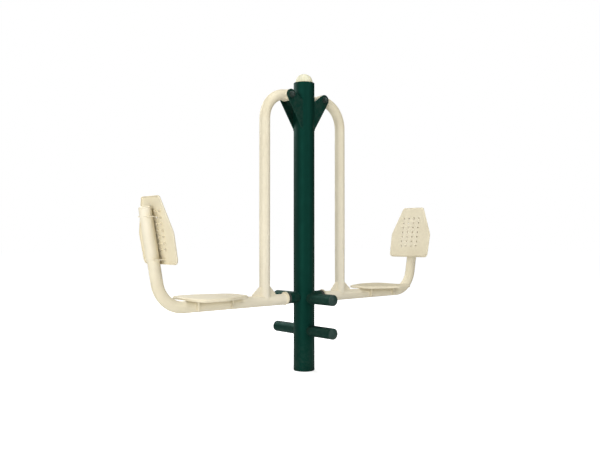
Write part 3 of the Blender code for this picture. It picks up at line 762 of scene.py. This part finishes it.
def build_back(side, turn, cream):
    """Pressed backrest with its hole field, and the two saddle plates on the back tube."""
    body = side + "_seat"
    corners = panel_corners(BACK_LEN, BACK_WIDEST_SHARE, BACK_HALF_FOOT, BACK_HALF_WIDEST,
                            BACK_HALF_HEAD,
                            (BACK_CORNER_FOOT, BACK_CORNER_SIDE, BACK_CORNER_HEAD))
    place = (BACK_PLACE @ Matrix.Translation((-BACK_OFF, 0, BACK_UP))
             @ Matrix.Rotation(-math.pi / 2, 4, "Y"))
    piece(side + "_back_pressing", pressed(corners, BACK_RIM, hole_places()), cream, body,
          [side + "_backrest"], turn @ place)

    front = (BACK_OFF - SHEET - GAP) / math.cos(BACK_LEAN) - SADDLE_T / 2 * math.tan(BACK_LEAN)
    outline = saddle_outline(-SADDLE_PAST, front, 1 / math.cos(BACK_LEAN))
    for end, share in zip(("lower", "upper"), BACK_SADDLE_SHARES):
        name = side + "_" + end + "_back_saddle"
        at = BACK_PLACE @ Vector((0, 0, BACK_UP + share * BACK_LEN))
        place = (Matrix.Translation(at) @ Matrix.Rotation(-math.pi / 2, 4, "Z")
                 @ Matrix.Rotation(math.pi / 2, 4, "X"))
        piece(name + "_plate", slab(outline, -SADDLE_T / 2, SADDLE_T / 2), cream, body, [name],
              turn @ place, bevel=PLATE_EDGE / 2)


# Finishes. A noise is its scale, detail and roughness. A bump is its strength and depth.

NOISE_MIDDLE = (0.35, 0.65)
NOISE_ROUGHNESS = 0.5
MIX_COLOURS_IN = (6, 7)
MIX_COLOUR_OUT = 2
PAINT = {
    "clouds": (7.0, 3.0), "patches": (18.0, 4.0),
    "specks": (60.0, 6.0, 0.7), "speck_stretch": (0.42, 0.72),
    "edge_stretch": (0.52, 0.60), "top_stretch": (0.35, 0.95), "splash_heights": (0.02, 0.22),
    "peel": (420.0, 2.0), "peel_bump": (0.20, 0.0004),
    "ripple": (45.0, 1.0), "ripple_bump": (0.08, 0.0015),
}
GREEN_LOOK = {
    **PAINT, "base": (0.0002, 0.0120, 0.0075), "shade": (0.0002, 0.0103, 0.0064),
    "edge_tone": (0.006, 0.034, 0.025), "edge": 0.5,
    "dust_tone": (0.16, 0.15, 0.12), "dust": 0.10, "splash": 0.12, "rough": (0.56, 0.64),
    "sockets": {"Specular IOR Level": 0.42, "Specular Tint": (0.15, 1.0, 0.76, 1)},
}
CREAM_LOOK = {
    **PAINT, "base": (0.785, 0.715, 0.530), "shade": (0.745, 0.67, 0.487),
    "edge_tone": (0.86, 0.80, 0.66), "edge": 0.6,
    "dust_tone": (0.46, 0.40, 0.29), "dust": 0.09, "splash": 0.10, "rough": (0.40, 0.54),
    "sockets": {"Specular IOR Level": 0.35},
}
RUBBER_LOOK = {
    "base": (0.030, 0.032, 0.028), "shade": (0.060, 0.064, 0.055), "clouds": (25.0, 4.0),
    "edge_tone": (0.12, 0.13, 0.115), "edge": 0.6, "edge_stretch": (0.51, 0.58),
    "rough": (0.62, 0.85), "patches": (90.0, 3.0), "sockets": {"Specular IOR Level": 0.3},
    "grain": (900.0, 3.0, 0.6), "grain_bump": (0.35, 0.0005),
}
STEEL_LOOK = {
    "base": (0.020, 0.036, 0.030), "shade": (0.030, 0.050, 0.042), "clouds": (80.0, 5.0),
    "edge_tone": (0.09, 0.11, 0.10), "edge": 0.5, "edge_stretch": (0.52, 0.60),
    "rough": (0.30, 0.55), "patches": (300.0, 4.0), "sockets": {"Metallic": 0.35},
    "rings": {"Scale": 260.0, "Distortion": 1.5, "Detail": 3.0}, "ring_bump": (0.12, 0.0003),
}
PLASTIC = {
    "clouds": (14.0, 4.0), "specks": (110.0, 5.0, 0.7), "speck_stretch": (0.5, 0.75),
    "dust_tone": (0.40, 0.36, 0.27), "top_stretch": (0.2, 0.9),
    "rough": (0.42, 0.57), "patches": (40.0, 3.0),
    "grain": (700.0, 2.0), "grain_bump": (0.15, 0.0003),
    "sockets": {"Specular IOR Level": 0.4, "Subsurface Weight": 0.08,
                "Subsurface Radius": (0.004, 0.003, 0.002)},
}
CAP_LOOK = {**PLASTIC, "base": (0.78, 0.75, 0.56), "shade": (0.72, 0.69, 0.50), "dust": 0.25}
PLUG_LOOK = {**PLASTIC, "base": (0.008, 0.036, 0.028), "shade": (0.006, 0.030, 0.023),
             "dust": 0.05}
NYLON_LOOK = {**PLASTIC, "base": (0.55, 0.54, 0.50), "shade": (0.48, 0.47, 0.43), "dust": 0.25}


def add(tree, kind, inputs=(), **settings):
    """New shader node with its settings and its unlinked inputs."""
    node = tree.nodes.new(kind)
    for key, value in settings.items():
        setattr(node, key, value)
    for key, value in dict(inputs).items():
        node.inputs[key].default_value = value
    return node


def noise(tree, coords, scale, detail, roughness=NOISE_ROUGHNESS):
    """Noise in the object's own frame."""
    node = add(tree, "ShaderNodeTexNoise",
               {"Scale": scale, "Detail": detail, "Roughness": roughness})
    tree.links.new(coords.outputs["Object"], node.inputs["Vector"])
    return node.outputs["Fac"]


def spread(tree, value, ends=(0, 1), stretch=NOISE_MIDDLE):
    """Map a stretch of a value to two end values, and hold them beyond it."""
    node = add(tree, "ShaderNodeMapRange", {"From Min": stretch[0], "From Max": stretch[1],
                                            "To Min": ends[0], "To Max": ends[1]})
    tree.links.new(value, node.inputs["Value"])
    return node.outputs["Result"]


def times(tree, first, second):
    """Product of two outputs, or of an output and a number, kept within 0 to 1."""
    node = add(tree, "ShaderNodeMath", operation="MULTIPLY", use_clamp=True)
    for index, value in enumerate((first, second)):
        if isinstance(value, (int, float)):
            node.inputs[index].default_value = value
        else:
            tree.links.new(value, node.inputs[index])
    return node.outputs["Value"]


def mix(tree, factor, first, second):
    """Colour mix of two colours or outputs by a factor output."""
    node = add(tree, "ShaderNodeMix", data_type="RGBA")
    tree.links.new(factor, node.inputs[0])
    for index, value in zip(MIX_COLOURS_IN, (first, second)):
        if isinstance(value, tuple):
            node.inputs[index].default_value = (*value, 1)
        else:
            tree.links.new(value, node.inputs[index])
    return node.outputs[MIX_COLOUR_OUT]


def upward(tree, vector):
    """Z of a vector output."""
    parts = add(tree, "ShaderNodeSeparateXYZ")
    tree.links.new(vector, parts.inputs[0])
    return parts.outputs["Z"]


def bump(tree, height, strength, depth, under=None):
    """Normal of a bump, on top of another one where it is given."""
    node = add(tree, "ShaderNodeBump", {"Strength": strength, "Distance": depth})
    tree.links.new(height, node.inputs["Height"])
    if under is not None:
        tree.links.new(under, node.inputs["Normal"])
    return node.outputs["Normal"]


def new_finish(name, slot_name, look):
    """New node material with patchy roughness, and its base tone in slow clouds."""
    material = bpy.data.materials.new(name)
    material.use_nodes = True
    tree = material.node_tree
    shader = tree.nodes["Principled BSDF"]
    for socket, value in look["sockets"].items():
        shader.inputs[socket].default_value = value
    coords = add(tree, "ShaderNodeTexCoord")
    tree.links.new(spread(tree, noise(tree, coords, *look["patches"]), look["rough"]),
                   shader.inputs["Roughness"])
    tone = mix(tree, spread(tree, noise(tree, coords, *look["clouds"])), look["base"],
               look["shade"])
    return {"material": material, "slot": slot_name}, tree, shader, coords, tone


def worn(tree, tone, look):
    """Tone that goes over to the edge tone on outward edges."""
    geometry = add(tree, "ShaderNodeNewGeometry")
    edges = spread(tree, geometry.outputs["Pointiness"], stretch=look["edge_stretch"])
    return mix(tree, times(tree, edges, look["edge"]), tone, look["edge_tone"])


def dusty(tree, coords, tone, speck, look):
    """Tone with specks of dust where the surface turns up in the object's own frame."""
    top = spread(tree, upward(tree, coords.outputs["Normal"]), stretch=look["top_stretch"])
    return mix(tree, times(tree, times(tree, speck, top), look["dust"]), tone,
               look["dust_tone"])


def powder_coat(name, slot_name, look):
    """Baked powder paint with peel, ripple and worn edges.

    Dust on top and splashes low down both go by the piece's own frame.
    """
    finish, tree, shader, coords, tone = new_finish(name, slot_name, look)
    tone = worn(tree, tone, look)
    speck = spread(tree, noise(tree, coords, *look["specks"]), stretch=look["speck_stretch"])
    tone = dusty(tree, coords, tone, speck, look)
    low = spread(tree, upward(tree, coords.outputs["Object"]), (1, 0), look["splash_heights"])
    splash = times(tree, times(tree, speck, low), look["splash"])
    tree.links.new(mix(tree, splash, tone, look["dust_tone"]), shader.inputs["Base Color"])
    peel = bump(tree, noise(tree, coords, *look["peel"]), *look["peel_bump"])
    ripple = bump(tree, noise(tree, coords, *look["ripple"]), *look["ripple_bump"], under=peel)
    tree.links.new(ripple, shader.inputs["Normal"])
    return finish


def moulded_rubber(name, slot_name, look):
    """Dull black rubber with a fine grain, paler where it is rubbed."""
    finish, tree, shader, coords, tone = new_finish(name, slot_name, look)
    tree.links.new(worn(tree, tone, look), shader.inputs["Base Color"])
    grain = noise(tree, coords, *look["grain"])
    tree.links.new(bump(tree, grain, *look["grain_bump"]), shader.inputs["Normal"])
    return finish


def blackened_steel(name, slot_name, look):
    """Dark turned steel with tool rings, and a few brighter edges."""
    finish, tree, shader, coords, tone = new_finish(name, slot_name, look)
    tree.links.new(worn(tree, tone, look), shader.inputs["Base Color"])
    rings = add(tree, "ShaderNodeTexWave", look["rings"], wave_type="RINGS",
                rings_direction="Z")
    tree.links.new(coords.outputs["Object"], rings.inputs["Vector"])
    tree.links.new(bump(tree, rings.outputs["Fac"], *look["ring_bump"]),
                   shader.inputs["Normal"])
    return finish


def moulded_plastic(name, slot_name, look):
    """Slightly cloudy moulded plastic with a soft sheen and fine mould texture."""
    finish, tree, shader, coords, tone = new_finish(name, slot_name, look)
    speck = spread(tree, noise(tree, coords, *look["specks"]), stretch=look["speck_stretch"])
    tree.links.new(dusty(tree, coords, tone, speck, look), shader.inputs["Base Color"])
    grain = noise(tree, coords, *look["grain"])
    tree.links.new(bump(tree, grain, *look["grain_bump"]), shader.inputs["Normal"])
    return finish


def finish_frame_nodes(finishes):
    """Finish for the CAD nodes that stay in view, by the record's slots."""
    for part in frame["record"]["subparts"]:
        node = frame["nodes"][part["node"]]
        material = finishes[part["material_slot"]]["material"]
        for material_slot in node.material_slots:
            material_slot.material = material


# Room, lamps and camera

CAMERA_TURN = 0.7280
CAMERA_TILT = 0.0184
CAMERA_AWAY = 3.76067
CAMERA_SIDE = 0.0225
CAMERA_HEIGHT = 0.7318
FOCAL_PX = 677.1
IMAGE_WIDTH_PX = 600
SENSOR_MM = 36.0
FLOOR_HALF = 30.0
AMBIENT = (0.01, 0.01, 0.01)
FLOOR_TONE = (0.80, 0.80, 0.80)
FLOOR_LIFTS = (0.62, 1.0)
FLOOR_REACH = (0.5, 2.2)
LAMP_SIZE = 2.0
LAMP_AWAY = 4.5
# Name, turn and lift in degrees, and power in watts
LAMPS = (
    ("front_key", -20, 5, 82.0),
    ("overhead", 0, 85, 72.0),
    ("left_fill", -50, 25, 41.0),
    ("right_low_fill", 50, 5, 38.0),
    ("right_high_key", 50, 50, 67.0),
    ("left_rim", -120, 30, 82.0),
    ("back_rim", -160, 30, 38.0),
)
LAMP_AIM = Vector((0, 0, 0.8))


def seen(tree):
    """1 for rays that come straight from the camera and 0 for the rest."""
    return add(tree, "ShaderNodeLightPath").outputs["Is Camera Ray"]


def build_floor():
    """Pale floor that shows white to the camera and still keeps the object's shadow."""
    bm = bmesh.new()
    corners = [bm.verts.new((x * FLOOR_HALF, y * FLOOR_HALF, 0))
               for x, y in ((-1, -1), (1, -1), (1, 1), (-1, 1))]
    bm.faces.new(corners)
    mesh = bpy.data.meshes.new("floor")
    bm.to_mesh(mesh)
    bm.free()
    floor = bpy.data.objects.new("floor", mesh)
    bpy.context.scene.collection.objects.link(floor)
    material = bpy.data.materials.new("pale_floor")
    material.use_nodes = True
    tree = material.node_tree
    shader = tree.nodes["Principled BSDF"]
    shader.inputs["Base Color"].default_value = (*FLOOR_TONE, 1)
    shader.inputs["Roughness"].default_value = 1.0
    shader.inputs["Specular IOR Level"].default_value = 0.0
    shader.inputs["Emission Color"].default_value = (1, 1, 1, 1)
    coords = add(tree, "ShaderNodeTexCoord")
    away = add(tree, "ShaderNodeVectorMath", operation="LENGTH")
    tree.links.new(coords.outputs["Object"], away.inputs[0])
    lift = spread(tree, away.outputs["Value"], FLOOR_LIFTS, FLOOR_REACH)
    tree.links.new(times(tree, seen(tree), lift), shader.inputs["Emission Strength"])
    mesh.materials.append(material)


def build_world():
    """White backdrop for the camera, and an even pale light for everything else."""
    world = bpy.data.worlds.new("studio")
    bpy.context.scene.world = world
    world.use_nodes = True
    tree = world.node_tree
    light = tree.nodes["Background"]
    light.inputs["Color"].default_value = (*AMBIENT, 1)
    backdrop = add(tree, "ShaderNodeBackground", {"Color": (1, 1, 1, 1), "Strength": 1.0})
    choose = add(tree, "ShaderNodeMixShader")
    tree.links.new(seen(tree), choose.inputs[0])
    tree.links.new(light.outputs[0], choose.inputs[1])
    tree.links.new(backdrop.outputs[0], choose.inputs[2])
    tree.links.new(choose.outputs[0], tree.nodes["World Output"].inputs["Surface"])


def build_lamps():
    """Round lamps on a dome about the object, at (turn, lift) degrees from the camera's side."""
    toward = Vector((-math.sin(CAMERA_TURN), -math.cos(CAMERA_TURN), 0))
    right = Vector((math.cos(CAMERA_TURN), -math.sin(CAMERA_TURN), 0))
    for name, turn, lift, power in LAMPS:
        around = math.radians(turn)
        level = toward * math.cos(around) + right * math.sin(around)
        up = math.radians(lift)
        lamp = bpy.data.lights.new(name, "AREA")
        lamp.shape = "DISK"
        lamp.size = LAMP_SIZE
        lamp.energy = power
        obj = bpy.data.objects.new(name, lamp)
        bpy.context.scene.collection.objects.link(obj)
        away = level * math.cos(up) + Vector((0, 0, math.sin(up)))
        obj.location = LAMP_AIM + LAMP_AWAY * away
        obj.rotation_euler = (LAMP_AIM - obj.location).to_track_quat("-Z", "Y").to_euler()


def build_camera():
    """Camera at the photograph's place, which was solved together with the object's sizes."""
    right = Vector((math.cos(CAMERA_TURN), -math.sin(CAMERA_TURN), 0))
    level = Vector((math.sin(CAMERA_TURN), math.cos(CAMERA_TURN), 0))
    forward = level * math.cos(CAMERA_TILT) + Vector((0, 0, math.sin(CAMERA_TILT)))
    data = bpy.data.cameras.new("camera")
    data.sensor_width = SENSOR_MM
    data.lens = FOCAL_PX * SENSOR_MM / IMAGE_WIDTH_PX
    camera = bpy.data.objects.new("camera", data)
    bpy.context.scene.collection.objects.link(camera)
    place = Matrix((right, right.cross(forward), -forward)).transposed().to_4x4()
    place.translation = (Vector((0, 0, CAMERA_HEIGHT)) - right * CAMERA_SIDE
                         - level * CAMERA_AWAY)
    camera.matrix_world = place
    bpy.context.scene.camera = camera


def build():
    """The finishes, the pieces of the post and of both seat units, and the room."""
    green = powder_coat("green_powder_coat", "green_paint", GREEN_LOOK)
    cream = powder_coat("cream_powder_coat", "cream_paint", CREAM_LOOK)
    plastic = moulded_plastic("cap_plastic", "cream_paint", CAP_LOOK)
    plug = moulded_plastic("plug_plastic", "green_paint", PLUG_LOOK)
    rubber = moulded_rubber("bumper_rubber", "black_rubber", RUBBER_LOOK)
    steel = blackened_steel("blackened_steel", "dark_steel", STEEL_LOOK)
    nylon = moulded_plastic("washer_nylon", "nylon", NYLON_LOOK)
    finish_frame_nodes({"green_paint": green, "cream_paint": cream, "black_rubber": rubber,
                        "dark_steel": steel, "nylon": nylon})

    build_post(green, plastic, plug)
    for side, turn in SIDES:
        build_brackets(side, turn, green)
        build_nuts(side, turn, steel)
        build_stop(side, turn, green, rubber)
        build_arm(side, turn, cream)
        build_gussets(side, turn, cream)
        build_beam(side, turn, cream)
        build_seat(side, turn, cream)
        build_back(side, turn, cream)

    build_floor()
    build_world()
    build_lamps()
    build_camera()
    bpy.context.scene.view_settings.view_transform = "Standard"


build()
